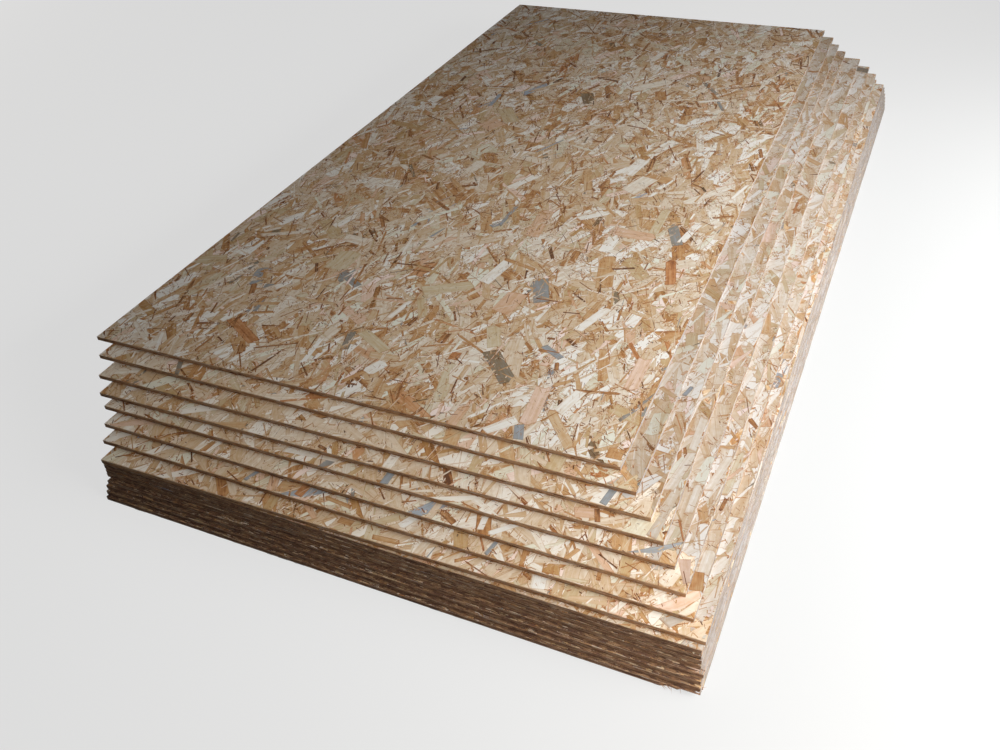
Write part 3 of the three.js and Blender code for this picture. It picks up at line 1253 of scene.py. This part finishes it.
# %% Splinters
BREAK_ALONG_FRONT, BREAK_ALONG_SIDE = 66 * MM, 17 * MM
SPLINTERS, SPLINTER_SEED = 34, 11
SPLINTER_LENGTH, SPLINTER_WIDTH = (5, 15), (0.5, 1.3)  # mm
SPLINTER_HEIGHT, LEAST_HEIGHT = (0.9, 8.0), 0.6 * MM
SPLINTER_DROP = (-0.25, 0.3)  # of its length
FRONT_SHARE, FRONT_HEADINGS, SIDE_HEADINGS = 0.8, (-80, 10), (-50, 50)  # degrees from the right
SPLINTER_ROOT, FRAY_ROOT = 4 * MM, 9 * MM
THICKEST = 0.4  # along a splinter
LEAST_SPLINTER_TONE, SPLINTER_TONES = 0.55, 0.35
FRAYED_ENDS = [(534, 6, 7, 2.4), (537, 4, 8, 1.2), (531, 5, 4, 1.0)]  # across, reach, drop, width
FRAY_LEAN = 2  # how far, in mm, a frayed end is off to the right


def spindle(made, root, tip, width):
    tone_layer, place_layer = made.verts.layers.float["tone"], made.verts.layers.float_vector["place"]
    along = (tip - root).normalized()
    side = along.cross(Vector((0.0, 0.0, 1.0))).normalized()
    over = side.cross(along)
    middle = root.lerp(tip, THICKEST)
    ring = [
        middle + (side * math.cos(turn) + over * math.sin(turn)) * width / 2
        for turn in (0.0, math.tau / 3, 2 * math.tau / 3)
    ]
    start, *around, end = [made.verts.new(point) for point in (root, *ring, tip)]
    for vertex in (start, *around, end):
        vertex[tone_layer] = LEAST_SPLINTER_TONE + SPLINTER_TONES * random.random()
        vertex[place_layer] = vertex.co
    close_round(made, around, end, start)


def spindle_mesh(name, ends):
    """A mesh with one spindle for each root, tip and width."""
    made = bmesh.new()
    made.verts.layers.float.new("tone")
    made.verts.layers.float_vector.new("place")
    for root, tip, width in ends:
        spindle(made, root, tip, width)
    bmesh.ops.recalc_face_normals(made, faces=made.faces)
    return finished(made, name, strand_wood)


def splinters_of(lie):
    corner = Vector((lie.half_width, -lie.half_length))
    for _ in range(SPLINTERS):
        share = random.random()
        inwards = Vector((-BREAK_ALONG_FRONT * (1 - share), BREAK_ALONG_SIDE * share))
        headings = FRONT_HEADINGS if share < FRONT_SHARE else SIDE_HEADINGS
        heading = math.radians(random.uniform(*headings))
        out = Vector((math.cos(heading), math.sin(heading)))
        on_break = turned(corner + inwards, lie.turn) + lie.middle
        height = random.uniform(*SPLINTER_HEIGHT) * MM
        length = random.uniform(*SPLINTER_LENGTH) * MM
        drop = random.uniform(*SPLINTER_DROP) * length
        root = Vector((*(on_break - out * SPLINTER_ROOT), height))
        tip = Vector((*(on_break + out * length), max(height - drop, LEAST_HEIGHT)))
        yield root, tip, random.uniform(*SPLINTER_WIDTH) * MM


def frayed_ends_of(lie):
    """Where a strand of the face is torn over the sheet's front edge."""
    for across, reach, drop, width in FRAYED_ENDS:
        root = Vector((across * MM, -lie.half_length + FRAY_ROOT))
        tip = Vector(((across + FRAY_LEAN) * MM, -lie.half_length - reach * MM))
        root, tip = (turned(point, lie.turn) + lie.middle for point in (root, tip))
        yield Vector((*root, lie.top)), Vector((*tip, lie.top - drop * MM)), width * MM


random.seed(SPLINTER_SEED)
for name, ends in (
    ("frayed_strand_on_fanned_sheet_1", frayed_ends_of(lies["fanned_sheet_1"])),
    ("splinters_at_the_broken_corner", splinters_of(lies[sheet_names[0]])),
):
    add_piece(name, [spindle_mesh("spindles", ends)])

# %% [markdown]
# ## Floor
#
# The stack lies on a plain pale floor. A white floor beside a bright lamp would throw so much
# light up at the sawn edges that they lost their depth. So it gives back little light to the wood,
# and it glows faintly for the camera, which keeps it pale away from the lamp.

# %% Floor
FLOOR_SIZE = 60
FLOOR_FOR_WOOD, FLOOR_FOR_CAMERA, FLOOR_GLOW = 0.30, 0.15, 0.66


def grey(value):
    return (value, value, value, 1.0)


bpy.ops.mesh.primitive_plane_add(size=FLOOR_SIZE, location=(0, 0, 0))
floor = bpy.context.active_object
floor.name = "floor"
floor_paint, tree, shader = new_material("floor paint", roughness=0.9, specular=0.1)
seen = node(tree, "ShaderNodeLightPath").outputs["Is Camera Ray"]
shade = mix_colours(tree, seen, grey(FLOOR_FOR_WOOD), grey(FLOOR_FOR_CAMERA))
tree.links.new(shade, shader.inputs["Base Color"])
glow = maths(tree, "MULTIPLY", seen, FLOOR_GLOW)
shader.inputs["Emission Color"].default_value = grey(1.0)
tree.links.new(glow, shader.inputs["Emission Strength"])
floor.data.materials.append(floor_paint)
floor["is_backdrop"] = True
print("floor:", FLOOR_SIZE, "m across")

# %% [markdown]
# ## Light
#
# One broad lamp hangs low over the right of the stack, as a wide door would light it: the right
# edges shine, the top fades towards the back left, and the front edges stay in shade. A small warm
# lamp low in front lifts the right half of the block's ends. Two more, low at the left and behind,
# light the edges on those sides and hardly touch the top. The camera sees the world as a pale sky.

# %% Light
def area_light(name, place, aim, size, power, colour, spread=180):
    data = bpy.data.lights.new(name, "AREA")
    data.shape = "RECTANGLE"
    data.size, data.size_y = size
    data.energy = power
    data.color = colour
    data.spread = math.radians(spread)
    lamp = bpy.data.objects.new(name, data)
    lamp.location = place
    lamp.rotation_euler = (Vector(aim) - Vector(place)).to_track_quat("-Z", "Y").to_euler()
    lamp.visible_camera = False
    bpy.context.scene.collection.objects.link(lamp)


area_light("key", (2.25, -0.26, 1.0), (1.2, -0.14, 0.0), (2.78, 1.0), 75, (0.98, 1.0, 0.98), 110)
area_light("front", (1.15, -1.8, 0.38), (0.62, -1.2, 0.06), (0.45, 0.3), 4.2, (1.0, 0.83, 0.64))
area_light("left", (-5.5, 0.2, 0.2), (-0.8, 0.2, 0.1), (4.0, 0.3), 110, (1.0, 0.92, 0.82))
area_light("back", (-0.4, 4.4, 0.2), (-0.2, 1.5, 0.1), (2.2, 0.3), 30, (1.0, 0.93, 0.85))

WORLD_FOR_WOOD, WORLD_FOR_CAMERA = 0.05, 0.62
world = bpy.data.worlds.new("studio")
world.use_nodes = True
tree = world.node_tree
seen = node(tree, "ShaderNodeLightPath").outputs["Is Camera Ray"]
background = tree.nodes["Background"]
background.inputs["Color"].default_value = (1.0, 0.97, 0.94, 1.0)
reach = maths(tree, "MULTIPLY_ADD", seen, WORLD_FOR_CAMERA - WORLD_FOR_WOOD, WORLD_FOR_WOOD)
tree.links.new(reach, background.inputs["Strength"])
bpy.context.scene.world = world
bpy.context.scene.view_settings.view_transform = "Standard"
print("lamps:", len(bpy.data.lights))

# %% [markdown]
# ## Camera
#
# The camera stands before the right front corner, at about the height of a person's chest, and
# looks down along the stack. Three plain angles say how far it is turned to the left, how far it
# looks down, and how far it is rolled.

# %% Camera
CAMERA_PLACE = (0.7360, -2.0666, 1.3256)
TURN_LEFT, LOOK_DOWN, ROLL = (math.radians(a) for a in (24.977, 38.524, -3.02))
LENS, SENSOR_WIDTH = 33.344, 36
SHIFT_X, SHIFT_Y = -0.0291, 0.0006

camera = bpy.data.objects.new("camera", bpy.data.cameras.new("camera"))
camera.location = CAMERA_PLACE
aim = Matrix.Rotation(TURN_LEFT, 3, "Z") @ Matrix.Rotation(math.pi / 2 - LOOK_DOWN, 3, "X")
camera.rotation_euler = (aim @ Matrix.Rotation(ROLL, 3, "Z")).to_euler()
camera.data.lens, camera.data.sensor_width = LENS, SENSOR_WIDTH
camera.data.shift_x, camera.data.shift_y = SHIFT_X, SHIFT_Y
bpy.context.scene.collection.objects.link(camera)
bpy.context.scene.camera = camera
view = 2 * math.degrees(math.atan(SENSOR_WIDTH / 2 / LENS))
print(f"camera: {CAMERA_PLACE[2]:.2f} m high, {view:.0f} degrees wide")

# %% [markdown]
# ## Sizes
#
# Strands stand a fraction of a millimetre proud and splinters reach a few millimetres out, so the
# dressed stack is a little larger than the solids. Both boxes are printed.

# %% Sizes and finish
visual_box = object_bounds()
cad_size, visual_size = (high - low for low, high in (cad_box, visual_box))
print("solids, mm:", [round(side / MM, 1) for side in cad_size])
print("dressed, mm:", [round(side / MM, 1) for side in visual_size])
